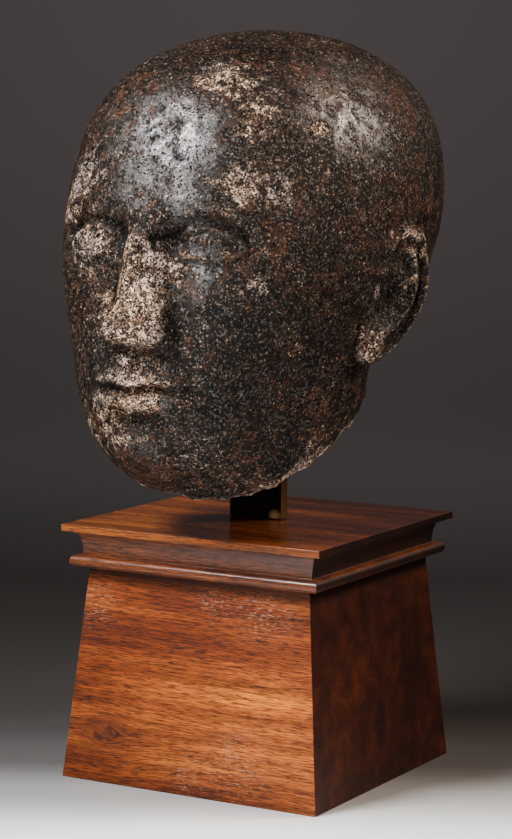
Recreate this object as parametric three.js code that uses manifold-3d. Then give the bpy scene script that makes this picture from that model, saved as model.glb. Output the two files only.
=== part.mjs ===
// Battered stone head of a shaven man, carried by a flat metal post on a moulded wooden plinth.
// Millimetres, +Z up. The face looks along -Y, the origin is the middle of the plinth's underside.
import * as THREE from "three";
import { mergeVertices } from "three/addons/utils/BufferGeometryUtils.js";
import Module from "manifold-3d";

const wasm = await Module();
wasm.setup();

// Clearance left between neighbouring pieces
const GAP = 0.3;

// Plinth body: a square block that tapers upwards
const BODY_FOOT_WIDTH = 140;
const BODY_TOP_WIDTH = 121;
const BODY_TOP_Z = 102.7;

// Plinth cap: one board with a bead, a cavetto and a fillet worked on its four edges
const CAP_BOTTOM_Z = BODY_TOP_Z + GAP;
const BEAD_RADIUS = 2.95;
const BEAD_REACH = 67.8;
const CAVETTO_FOOT = 62.8;
const CAVETTO_HEAD = 66.7;
const FILLET_REACH = 70.5;
const FILLET_BOTTOM_Z = 120.5;
const CAP_TOP_Z = 124;
const ARC_STEPS = 10;

// Post: a flat bar that stands on the cap and runs up into a pocket in the stone
const POST_WIDTH = 29;
const POST_THICKNESS = 6.6;
const POST_X = -1.5;
const POST_TOP_Z = 188;
const POST_EDGE = 0.5;

// Head: where the point midway between the ears stands, and how far the head leans back
const HEAD_X = -3;
const HEAD_Y = -16;
const HEAD_Z = 236.5;
const LEAN_BACK_DEG = 9;

// Carving, in the head's own frame: x to the figure's left, -y out of the face, z up
const BROW_LINE = 30;
const EYE_LINE = 11.5;
const EYE_X = 30.5;
const EYE_HALF_LENGTH = 15.5;
const UPPER_LID_RISE = 7;
const LOWER_LID_DROP = 4.6;
const NOSE_BASE = -34;
const NOSE_RISE = 18;
const NOSE_BREAK_Y = -96;
const MOUTH_LINE = -55;
const MOUTH_HALF_LENGTH = 28;
const CHIN_LINE = -83;

// Broken underside, in the plinth's frame: lowest under the jaw, rising to the nape and the sides
const BREAK_LOW_Z = 142;
const BREAK_TURN_Y = -50;
const BREAK_RISE = 0.47;
const BREAK_BOWL = 0.0075;
const BREAK_MIDDLE_X = 8;

// Ears: flat shells that lean back, flare outwards behind and are tucked in at the lobe
const EAR_AT = [75.5, 5.5, 2];
const EAR_LENGTH = 74;
const EAR_WIDTH = 38;
const EAR_LEAN_DEG = 15;
const EAR_FLARE_DEG = 16;
const EAR_TUCK_DEG = 7;
const EAR_SINK = 12;

// Fineness: the head is first made fine, then thinned to the triangles it needs
const HEAD_CELLS = 96;
const FACE_PULL = 0.35;
const RAY_CENTRE_Z = 8;
const RAY_START = 30;
const RAY_END = 160;
const RAY_HALVINGS = 16;
const EAR_SPOKES = 72;
const EAR_RINGS = 18;
const HEAD_TRIANGLES = 8800;

const clamp = (t) => Math.min(1, Math.max(0, t));

// Falls smoothly from 1 at t = 0 to 0 at t = 1 and beyond
function bump(t) {
  const c = clamp(Math.abs(t));
  return (1 - c * c) ** 2;
}

// Rises smoothly from 0 at a to 1 at b
function ramp(a, b, x) {
  const t = clamp((x - a) / (b - a));
  return t * t * (3 - 2 * t);
}

// The smaller of two distances, with the joint rounded over the width k
function blend(a, b, k) {
  const h = clamp(0.5 + (0.5 * (b - a)) / k);
  return b + (a - b) * h - k * h * (1 - h);
}

// The larger of two distances, rounded in the same way
function cut(a, b, k) {
  return -blend(-a, -b, k);
}

// Distance to an egg with squared shoulders, nearly exact close to its surface
function egg(x, y, z, [cx, cy, cz], [rx, ry, rz], power) {
  const a = Math.abs((x - cx) / rx) + 1e-9;
  const b = Math.abs((y - cy) / ry) + 1e-9;
  const c = Math.abs((z - cz) / rz) + 1e-9;
  const sum = a ** power + b ** power + c ** power;
  const p = power - 1;
  const slope = Math.hypot(a ** p / rx, b ** p / ry, c ** p / rz);
  return (sum ** (1 / power) - 1) / (slope * sum ** (1 / power - 1));
}

// A repeatable number between 0 and 1 for every point of a cubic lattice
function lattice(i, j, k, seed) {
  let n = Math.imul(i, 374761393) + Math.imul(j, 668265263) + Math.imul(k, 1274126177);
  n = (n + Math.imul(seed, 362437)) | 0;
  n = Math.imul(n ^ (n >>> 13), 1103515245);
  n = Math.imul(n ^ (n >>> 15), 12345677);
  return ((n >>> 8) & 0xffff) / 65535;
}

// Smooth unevenness between -1 and 1, in lumps about one unit wide
function rough(x, y, z, seed) {
  const i = Math.floor(x);
  const j = Math.floor(y);
  const k = Math.floor(z);
  const smooth = (t) => t * t * (3 - 2 * t);
  const [u, v, w] = [smooth(x - i), smooth(y - j), smooth(z - k)];
  let sum = 0;
  for (const [a, wa] of [[0, 1 - u], [1, u]]) {
    for (const [b, wb] of [[0, 1 - v], [1, v]]) {
      for (const [c, wc] of [[0, 1 - w], [1, w]]) {
        sum += wa * wb * wc * lattice(i + a, j + b, k + c, seed);
      }
    }
  }
  return 2 * sum - 1;
}

// From the head's own frame to the plinth's
const lean = THREE.MathUtils.degToRad(LEAN_BACK_DEG);
function place(x, y, z) {
  return [
    x + HEAD_X,
    HEAD_Y + y * Math.cos(lean) + z * Math.sin(lean),
    HEAD_Z + z * Math.cos(lean) - y * Math.sin(lean),
  ];
}

// Skull, crown, face, jaw, jaw corners and root of the neck as blended eggs
function mass(x, y, z) {
  let d = egg(x, y, z, [0, 6, 39], [81, 96.5, 82], 2.2);
  d = blend(d, egg(x, y, z, [0, 35, 65], [72, 66, 61], 2.4), 20);
  d = blend(d, egg(x, y, z, [0, -20, -6], [68, 67, 72], 2.3), 24);
  d = blend(d, egg(x, y, z, [0, -40, -56], [46, 46, 41], 2.2), 22);
  d = blend(d, egg(Math.abs(x), y, z, [37, -12, -40], [24, 32, 32], 2), 22);
  return blend(d, egg(x, y, z, [0, 10, -70], [60, 60, 62], 2.2), 18);
}

function eyes(side, z) {
  const u = (side - EYE_X) / EYE_HALF_LENGTH;
  const open = Math.max(0, 1 - u * u);
  const upper = EYE_LINE + UPPER_LID_RISE * open ** 0.75 - 0.4 * u;
  const lower = EYE_LINE - LOWER_LID_DROP * open ** 0.85 - 0.4 * u;
  const within = 1 - ramp(0.96, 1.12, Math.abs(u));
  const rims = 1.9 * bump((z - upper - 1.1) / 2.4) + 1.5 * bump((z - lower + 1) / 2.2);
  const crease = 1.1 * bump((z - upper - 5.2) / 2.4);
  const socket = 6 * bump(Math.hypot((side - 31) / 26, (z - 14) / 15));
  const corner = 5 * bump(Math.hypot((side - 14) / 10, (z - 13) / 12));
  const ball = 6.6 * bump(Math.hypot((side - 31) / 20, (z - 12.5) / 11.5));
  return ball - socket - corner + within * (rims - crease);
}

function brows(side, z) {
  const arch = BROW_LINE - 0.005 * (side - 28) ** 2;
  const ridge = bump((z - arch) / 11) * ramp(0, 14, side) * (1 - ramp(44, 60, side));
  const bridge = bump((z - BROW_LINE + 2) / 16) * bump(side / 24);
  return 2.2 * ridge + 1.4 * bridge;
}

// A wedge that widens and rises downwards, and its two wings
function nose(side, z) {
  const down = clamp((20 - z) / 48);
  const ends = ramp(NOSE_BASE - 4, NOSE_BASE + 6, z) * (1 - ramp(8, 34, z));
  const wedge = (5.5 + NOSE_RISE * down) * ends * bump(side / (11 + 10 * down ** 1.5));
  return wedge + 7 * bump(Math.hypot((side - 12) / 8, (z - NOSE_BASE - 6) / 9));
}

// A low mound with two lips, the line between them, its corners and the groove above
function mouth(side, z) {
  const line = MOUTH_LINE + 0.003 * side * side - 0.8 * bump(side / 8);
  const mound = 4 * bump(Math.hypot(side / 40, (z - MOUTH_LINE + 1) / 30));
  const upper = 3.2 * bump((z - line - 4.2) / 5.6) * (1 - ramp(12, 27, side));
  const lower = 3.8 * bump((z - line + 5.4) / 6.8) * (1 - ramp(8, 25, side));
  const parting = 2.2 * bump((z - line) / 2.4) * (1 - ramp(20, 30, side));
  const corner = bump(Math.hypot((side - MOUTH_HALF_LENGTH) / 8, (z - MOUTH_LINE - 1) / 8));
  const groove = 0.9 * bump(side / 4) * bump((z - MOUTH_LINE - 12) / 7);
  return mound + upper + lower - parting - corner - groove;
}

function cheeksAndChin(side, z) {
  const cheek = 2 * bump(Math.hypot((side - 44) / 28, (z + 6) / 22));
  const fold = 0.8 * bump((side - 6.4 + 0.42 * z) / 7) * bump((z + 46) / 22);
  const hollow = 2.6 * bump((z - MOUTH_LINE + 14) / 8) * bump(side / 26);
  const chin = 4.5 * bump(Math.hypot(side / 25, (z - CHIN_LINE) / 17));
  return cheek + chin - fold - hollow;
}

// How far the carving stands out of the mass, towards -y
function carving(x, y, z) {
  const side = Math.abs(x);
  const upper = eyes(side, z) + brows(side, z) + nose(side, z);
  return (upper + mouth(side, z) + cheeksAndChin(side, z)) * ramp(-25, -55, y);
}

// The whole head without its ears: below zero inside the stone
function headForm(x, y, z) {
  const [X, Y, Z] = place(x, y, z);
  const uneven = 2.2 * rough(X / 11, Y / 11, Z / 11, 3) + rough(X / 5, Y / 5, Z / 5, 4);
  const whole = mass(x, y, z) - carving(x, y, z);
  // the ridge and tip of the nose are struck off along an uneven plane
  const struck = NOSE_BREAK_Y + 0.13 * (z + 10) - y + 0.7 * uneven;
  const clear = 14 * (ramp(1, 24, z) + ramp(20, 32, Math.abs(x)));
  const chipped = cut(whole, struck - clear, 3);
  // the neck is broken away
  const bowl = BREAK_BOWL * (X - BREAK_MIDDLE_X) ** 2;
  const floor = BREAK_LOW_Z + BREAK_RISE * Math.max(0, Y - BREAK_TURN_Y) + bowl;
  return cut(chipped, 0.9 * (floor - Z) + uneven, 5);
}

function geometryOf(points, triangles) {
  const geometry = new THREE.BufferGeometry();
  geometry.setAttribute("position", new THREE.Float32BufferAttribute(points, 3));
  geometry.setIndex(triangles);
  return geometry;
}

// A ball of square cells pushed out along its rays to the stone's surface, finer over the face
function skullGeometry() {
  const box = new THREE.BoxGeometry(2, 2, 2, HEAD_CELLS, HEAD_CELLS, HEAD_CELLS);
  box.deleteAttribute("normal");
  box.deleteAttribute("uv");
  const ball = mergeVertices(box, 1e-4);
  const at = ball.attributes.position;
  const ray = new THREE.Vector3();
  for (let i = 0; i < at.count; i++) {
    ray.fromBufferAttribute(at, i);
    ray.set(...ray.toArray().map((v) => Math.tan((v * Math.PI) / 4))).normalize();
    ray.y -= FACE_PULL;
    ray.normalize();
    let inside = RAY_START;
    let outside = RAY_END;
    for (let k = 0; k < RAY_HALVINGS; k++) {
      const r = (inside + outside) / 2;
      if (headForm(ray.x * r, ray.y * r, RAY_CENTRE_Z + ray.z * r) < 0) inside = r;
      else outside = r;
    }
    at.setXYZ(i, ...place(ray.x * inside, ray.y * inside, RAY_CENTRE_Z + ray.z * inside));
  }
  return ball;
}

// Height of an ear's carving over its base plane; u runs up its length, v to its back edge
function earHeight(u, v) {
  const r = Math.hypot(u, v);
  const angle = Math.abs(Math.atan2(v, u));
  const end = v > 0 ? 1 - ramp(2.3, 2.9, angle) : 1 - ramp(1, 1.5, angle);
  const inner = Math.hypot((u - 0.02) / 0.6, (v - 0.02) / 0.58);
  const rim = 4 * bump((r - 0.83) / 0.19) * end;
  const scoop = bump((inner - 1.25) / 0.16) * ramp(-0.1, 0.3, v);
  const fold = 3 * bump((inner - 0.88) / 0.26) * ramp(-0.25, 0.15, v);
  const lobe = 3.4 * bump(Math.hypot((u + 0.72) / 0.36, (v + 0.05) / 0.6));
  const flap = 3.6 * bump(Math.hypot((u + 0.12) / 0.2, (v + 0.62) / 0.3));
  const hollow = 4.5 * bump(Math.hypot((u + 0.12) / 0.42, (v + 0.12) / 0.46));
  return 5 + rim + fold + lobe + flap - hollow - scoop;
}

// Directions of an ear: up its length, towards its back edge, and out of its face
function earAxes() {
  const tip = THREE.MathUtils.degToRad(EAR_LEAN_DEG);
  const flare = THREE.MathUtils.degToRad(EAR_FLARE_DEG);
  const tuck = THREE.MathUtils.degToRad(EAR_TUCK_DEG);
  const up = new THREE.Vector3(Math.tan(tuck), Math.sin(tip), Math.cos(tip)).normalize();
  const back = new THREE.Vector3(Math.tan(flare), Math.cos(tip), -Math.sin(tip));
  back.addScaledVector(up, -back.dot(up)).normalize();
  return { up, back, out: new THREE.Vector3().crossVectors(back, up) };
}

// One ear as a closed shell: a carved face, a rounded edge and a back sunk in the skull
function earGeometry(side) {
  const { up, back, out } = earAxes();
  const points = [];
  const put = (u, v, height) => {
    const low = clamp(-u);
    const across = v * (1 - 0.22 * low ** 1.5) - 0.14 * low;
    const p = new THREE.Vector3(...EAR_AT);
    p.addScaledVector(up, (u * EAR_LENGTH) / 2);
    p.addScaledVector(back, (across * EAR_WIDTH) / 2);
    p.addScaledVector(out, height);
    points.push(...place(side * p.x, p.y, p.z));
  };
  const face = Array.from({ length: EAR_RINGS }, (_, i) => 0.97 * ((i + 1) / EAR_RINGS) ** 0.8);
  const edge = [[1, 1.8], [1, -1.5], [0.93, -5], [0.8, -EAR_SINK]];
  const rings = [...face.map((share) => [share, null]), ...edge];
  put(0, 0, earHeight(0, 0));
  for (const [share, fixed] of rings) {
    for (let k = 0; k < EAR_SPOKES; k++) {
      const a = (2 * Math.PI * k) / EAR_SPOKES;
      const [u, v] = [share * Math.cos(a), share * Math.sin(a)];
      put(u, v, fixed ?? earHeight(u, v) - 2.6 * ramp(0.86, 0.99, share));
    }
  }
  put(0, 0, -EAR_SINK);
  const triangles = [];
  const last = points.length / 3 - 1;
  const outermost = 1 + (rings.length - 1) * EAR_SPOKES;
  for (let k = 0; k < EAR_SPOKES; k++) {
    const n = (k + 1) % EAR_SPOKES;
    triangles.push(0, 1 + n, 1 + k);
    for (let a = 1; a < outermost; a += EAR_SPOKES) {
      const b = a + EAR_SPOKES;
      triangles.push(a + k, a + n, b + k, a + n, b + n, b + k);
    }
    triangles.push(last, outermost + k, outermost + n);
  }
  if (side < 0) triangles.reverse();
  return geometryOf(points, triangles);
}

function solidOf(geometry) {
  const bare = geometry.clone();
  bare.deleteAttribute("normal");
  bare.deleteAttribute("uv");
  const merged = mergeVertices(bare, 1e-4);
  const vertProperties = merged.attributes.position.array;
  const triVerts = new Uint32Array(merged.index.array);
  return new wasm.Manifold(new wasm.Mesh({ numProp: 3, vertProperties, triVerts }));
}

function geometryFrom(solid) {
  const mesh = solid.getMesh();
  return geometryOf(Array.from(mesh.vertProperties), Array.from(mesh.triVerts));
}

// A list kept so that the entry with the lowest cost comes out first
class Queue {
  entries = [];

  put(entry) {
    const e = this.entries;
    let i = e.push(entry) - 1;
    while (i > 0 && e[(i - 1) >> 1].cost > entry.cost) {
      e[i] = e[(i - 1) >> 1];
      i = (i - 1) >> 1;
    }
    e[i] = entry;
  }

  take() {
    const e = this.entries;
    const first = e[0];
    const moved = e.pop();
    if (!e.length) return first;
    let i = 0;
    for (let child = 1; child < e.length; child = 2 * i + 1) {
      if (child + 1 < e.length && e[child + 1].cost < e[child].cost) child++;
      if (e[child].cost >= moved.cost) break;
      e[i] = e[child];
      i = child;
    }
    e[i] = moved;
    return first;
  }
}

// Sum of squared distances to a corner's planes, held as the ten terms of a symmetric matrix
function errorAt(q, { x, y, z }) {
  const xx = q[0] * x * x + q[4] * y * y + q[7] * z * z + q[9];
  return xx + 2 * (q[1] * x * y + q[2] * x * z + q[3] * x + q[5] * y * z + q[6] * y + q[8] * z);
}

// Thins a closed mesh to so many triangles, always giving up the edge that changes it least
function thinned(geometry, wanted) {
  const at = geometry.attributes.position;
  const index = geometry.index.array;
  const corner = Array.from({ length: at.count }, (_, i) => ({
    p: new THREE.Vector3().fromBufferAttribute(at, i),
    q: new Float64Array(10),
    faces: new Set(),
    stamp: 0,
  }));
  const faces = [];
  const triangle = new THREE.Triangle();
  const normal = new THREE.Vector3();
  for (let i = 0; i < index.length; i += 3) {
    const face = [index[i], index[i + 1], index[i + 2]];
    triangle.set(...face.map((v) => corner[v].p));
    triangle.getNormal(normal);
    const plane = [...normal.toArray(), -normal.dot(triangle.a)];
    const area = triangle.getArea();
    for (const v of face) {
      let term = 0;
      for (let a = 0; a < 4; a++) {
        for (let b = a; b < 4; b++) corner[v].q[term++] += area * plane[a] * plane[b];
      }
      corner[v].faces.add(faces.length);
    }
    faces.push(face);
  }
  const around = (v) => new Set([...corner[v].faces].flatMap((f) => faces[f]).filter((w) => w !== v));
  // the spot for the corner that replaces an edge, and what it costs
  const offer = (a, b) => {
    const q = corner[a].q.map((v, i) => v + corner[b].q[i]);
    const middle = corner[a].p.clone().lerp(corner[b].p, 0.5);
    const span = corner[a].p.distanceTo(corner[b].p);
    const spots = [middle, corner[a].p, corner[b].p];
    const m = new THREE.Matrix3().set(q[0], q[1], q[2], q[1], q[4], q[5], q[2], q[5], q[7]);
    if (Math.abs(m.determinant()) > 1e-3 * (q[0] + q[4] + q[7]) ** 3) {
      const best = new THREE.Vector3(-q[3], -q[6], -q[8]).applyMatrix3(m.invert());
      if (best.distanceTo(middle) < span) spots.unshift(best);
    }
    const costs = spots.map((p) => errorAt(q, p) + 1e-5 * span ** 2);
    const cost = Math.min(...costs);
    const p = spots[costs.indexOf(cost)];
    return { cost, p, q, a, b, stamp: corner[a].stamp + corner[b].stamp };
  };
  // a face that would fold over when one of its corners moves
  const folds = (f, from, to) => {
    triangle.set(...faces[f].map((v) => corner[v].p));
    triangle.getNormal(normal);
    triangle.set(...faces[f].map((v) => (v === from ? to : corner[v].p)));
    return triangle.getNormal(new THREE.Vector3()).dot(normal) < 0.5;
  };
  const queue = new Queue();
  faces.forEach(([a, b, c]) => {
    for (const [s, t] of [[a, b], [b, c], [c, a]]) if (s < t) queue.put(offer(s, t));
  });
  let left = faces.length;
  while (left > wanted && queue.entries.length) {
    const { p, q, a, b, stamp } = queue.take();
    const [keep, drop] = [corner[a], corner[b]];
    if (!keep.faces.size || !drop.faces.size || keep.stamp + drop.stamp !== stamp) continue;
    const shared = [...keep.faces].filter((f) => drop.faces.has(f));
    const both = [...around(a)].filter((v) => around(b).has(v));
    if (shared.length !== 2 || both.length !== 2) continue;
    const moved = (v) => [...corner[v].faces].filter((f) => !shared.includes(f));
    if (moved(a).some((f) => folds(f, a, p)) || moved(b).some((f) => folds(f, b, p))) continue;
    for (const f of shared) for (const v of faces[f]) corner[v].faces.delete(f);
    for (const f of drop.faces) {
      faces[f] = faces[f].map((v) => (v === b ? a : v));
      keep.faces.add(f);
    }
    drop.faces.clear();
    keep.p = p;
    keep.q = q;
    keep.stamp += drop.stamp + 1;
    for (const v of around(a)) queue.put(offer(a, v));
    left -= 2;
  }
  const used = new Set(corner.flatMap(({ faces: own }) => [...own]));
  const points = corner.flatMap(({ p }) => p.toArray());
  return geometryOf(points, [...used].flatMap((f) => faces[f]));
}

// The head: skull and ears in one block, with the pocket for the post cut up into the break
function headGeometry() {
  const height = POST_TOP_Z + GAP - CAP_TOP_Z;
  const pocket = new THREE.BoxGeometry(POST_WIDTH + 2 * GAP, POST_THICKNESS + 2 * GAP, height);
  pocket.translate(POST_X, 0, CAP_TOP_Z + height / 2);
  const ears = solidOf(earGeometry(1)).add(solidOf(earGeometry(-1)));
  const carved = geometryFrom(solidOf(skullGeometry()).add(ears));
  return geometryFrom(solidOf(thinned(carved, HEAD_TRIANGLES)).subtract(solidOf(pocket)));
}

// A square block or board whose four sides follow one profile of [half-width, height] points
function squareGeometry(profile) {
  const points = profile.map(([half, z]) => new THREE.Vector2(half * Math.SQRT2, z));
  return new THREE.LatheGeometry(points, 4, Math.PI / 4).rotateX(Math.PI / 2);
}

function bodyProfile() {
  return [
    [0, 0],
    [BODY_FOOT_WIDTH / 2, 0],
    [BODY_TOP_WIDTH / 2, BODY_TOP_Z],
    [0, BODY_TOP_Z],
  ];
}

function capProfile() {
  const beadX = BEAD_REACH - BEAD_RADIUS;
  const beadZ = CAP_BOTTOM_Z + BEAD_RADIUS;
  const ledgeZ = beadZ + BEAD_RADIUS;
  const profile = [[0, CAP_BOTTOM_Z]];
  for (let i = 0; i <= ARC_STEPS; i++) {
    const a = (Math.PI * i) / ARC_STEPS - Math.PI / 2;
    profile.push([beadX + BEAD_RADIUS * Math.cos(a), beadZ + BEAD_RADIUS * Math.sin(a)]);
  }
  for (let i = 0; i <= ARC_STEPS; i++) {
    const a = (Math.PI * i) / ARC_STEPS / 2;
    const hollow = (CAVETTO_HEAD - CAVETTO_FOOT) * Math.cos(a);
    profile.push([CAVETTO_HEAD - hollow, ledgeZ + (FILLET_BOTTOM_Z - ledgeZ) * Math.sin(a)]);
  }
  profile.push([FILLET_REACH, FILLET_BOTTOM_Z], [FILLET_REACH, CAP_TOP_Z], [0, CAP_TOP_Z]);
  return profile;
}

// The post: a flat bar with lightly broken upright edges
function postGeometry() {
  const x = POST_WIDTH / 2;
  const y = POST_THICKNESS / 2;
  const e = POST_EDGE;
  const outline = [
    [x - e, -y],
    [x, e - y],
    [x, y - e],
    [x - e, y],
    [e - x, y],
    [-x, y - e],
    [-x, e - y],
    [e - x, -y],
  ];
  const section = new THREE.Shape(outline.map(([a, b]) => new THREE.Vector2(a, b)));
  const depth = POST_TOP_Z - CAP_TOP_Z - GAP;
  const bar = new THREE.ExtrudeGeometry(section, { depth, bevelEnabled: false });
  return bar.translate(POST_X, 0, CAP_TOP_Z + GAP);
}

const wood = new THREE.MeshStandardMaterial({ color: 0x6b2f1a, roughness: 0.4 });
const stone = new THREE.MeshStandardMaterial({ color: 0x2e2824, roughness: 0.5 });
const bronze = new THREE.MeshStandardMaterial({ color: 0x2a2018, roughness: 0.4, metalness: 0.8 });

const part = new THREE.Group();

function add(name, geometry, material) {
  const mesh = new THREE.Mesh(geometry, material);
  mesh.name = name;
  part.add(mesh);
}

add("plinth_body", squareGeometry(bodyProfile()), wood);
add("plinth_cap", squareGeometry(capProfile()), wood);
add("mounting_post", postGeometry(), bronze);
add("stone_head", headGeometry(), stone);

export default part;
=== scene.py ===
# A battered granite head of a shaven man on a flat metal post and a moulded wooden plinth.
# Metres, +Z up, the face towards -Y; the middle of the plinth's underside is the origin.
import math
import bpy
import numpy as np
from mathutils import Matrix, Vector


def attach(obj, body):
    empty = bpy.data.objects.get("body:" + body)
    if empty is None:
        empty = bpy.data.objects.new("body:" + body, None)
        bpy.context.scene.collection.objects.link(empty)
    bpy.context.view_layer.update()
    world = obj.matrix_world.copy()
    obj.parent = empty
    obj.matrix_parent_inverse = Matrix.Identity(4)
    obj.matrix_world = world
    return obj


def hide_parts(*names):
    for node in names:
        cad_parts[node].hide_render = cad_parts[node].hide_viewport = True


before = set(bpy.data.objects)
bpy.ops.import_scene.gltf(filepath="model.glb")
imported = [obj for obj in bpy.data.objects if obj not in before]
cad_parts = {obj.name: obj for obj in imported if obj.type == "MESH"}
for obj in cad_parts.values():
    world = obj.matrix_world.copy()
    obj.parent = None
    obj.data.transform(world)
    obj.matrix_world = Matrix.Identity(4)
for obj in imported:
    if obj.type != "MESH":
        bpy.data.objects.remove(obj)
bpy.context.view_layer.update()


# Camera: a long lens, a little above the object and about 30 degrees round to the figure's left.
camera_data = bpy.data.cameras.new("camera")
camera_data.lens = 109.1
camera_data.clip_end = 20
camera = bpy.data.objects.new("camera", camera_data)
bpy.context.collection.objects.link(camera)
bpy.context.scene.camera = camera
azimuth, elevation, roll = (math.radians(a) for a in (29.69, 6.83, 0.58))
back = Vector((math.sin(azimuth) * math.cos(elevation), -math.cos(azimuth) * math.cos(elevation),
    math.sin(elevation)))
level = Vector((math.cos(azimuth), math.sin(azimuth), 0))
upright = back.cross(level)
turned = level * math.cos(roll) + upright * math.sin(roll)
axes = Matrix((turned, back.cross(turned), back)).transposed().to_4x4()
camera.matrix_world = Matrix.Translation((0.60805, -1.07242, 0.31999)) @ axes


# Plinth body: one block of reddish hardwood, sawn square and planed to a taper on four sides,
# its grain running from side to side. The arrises are only just broken, under a satin lacquer.
BODY_FOOT_HALF = 0.070
BODY_TOP_HALF = 0.0605
BODY_HEIGHT = 0.1027
ARRIS = 0.0005
FILLED = [
    ((0.038, -0.062, 0.092), 0.020), ((0.012, -0.061, 0.095), 0.014), ((0.028, -0.068, 0.018), 0.022),
    ((0.002, -0.068, 0.010), 0.014), ((-0.056, -0.062, 0.086), 0.016), ((-0.02, 0.066, 0.05), 0.024),
]


def material(name):
    made = bpy.data.materials.new(name)
    made.use_nodes = True
    tree = made.node_tree
    shader = tree.nodes["Principled BSDF"]
    return made, tree, shader


def add_node(tree, kind, settings=None, **inputs):
    """A node with its settings, and its input sockets given as numbers or as another node's outputs."""
    made = tree.nodes.new(kind)
    for key, value in (settings or {}).items():
        setattr(made, key, value)
    for key, value in inputs.items():
        socket = made.inputs[int(key[1:]) if key[0] == "i" and key[1:].isdigit() else key.replace("_", " ")]
        if isinstance(value, bpy.types.NodeSocket):
            tree.links.new(value, socket)
        else:
            socket.default_value = value
    return made


def place_on(tree, scale, turn=(0, 0, 0), shift=(0, 0, 0)):
    """Object coordinates, stretched and turned, for a pattern that fills the solid."""
    coords = add_node(tree, "ShaderNodeTexCoord")
    mapping = add_node(tree, "ShaderNodeMapping", Vector=coords.outputs["Object"], Scale=scale,
        Rotation=turn, Location=shift)
    return mapping.outputs["Vector"]


def noise(tree, vector, scale, detail=3.0, roughness=0.5, distortion=0.0):
    return add_node(tree, "ShaderNodeTexNoise", Vector=vector, Scale=scale, Detail=detail,
        Roughness=roughness, Distortion=distortion).outputs["Fac"]


def ramp(tree, factor, stops, ease="LINEAR"):
    made = add_node(tree, "ShaderNodeValToRGB", i0=factor)
    band = made.color_ramp
    band.interpolation = ease
    while len(band.elements) < len(stops):
        band.elements.new(0.5)
    for element, (at, colour) in zip(band.elements, stops):
        element.position = at
        element.color = (*colour, 1) if isinstance(colour, tuple) else (colour, colour, colour, 1)
    return made.outputs["Color"]


def sums(tree, operation, a, b, clamp=False):
    return add_node(tree, "ShaderNodeMath", {"operation": operation, "use_clamp": clamp}, i0=a,
        i1=b).outputs[0]


def mix(tree, kind, factor, a, b):
    made = add_node(tree, "ShaderNodeMix", {"data_type": "RGBA", "blend_type": kind})
    for socket, value in ((0, factor), (6, a), (7, b)):
        if isinstance(value, bpy.types.NodeSocket):
            tree.links.new(value, made.inputs[socket])
        else:
            made.inputs[socket].default_value = value
    return made.outputs[2]


def vector_math(tree, operation, a, b=(0, 0, 0), output=0, **more):
    return add_node(tree, "ShaderNodeVectorMath", {"operation": operation}, i0=a, i1=b,
        **more).outputs[output]


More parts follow.
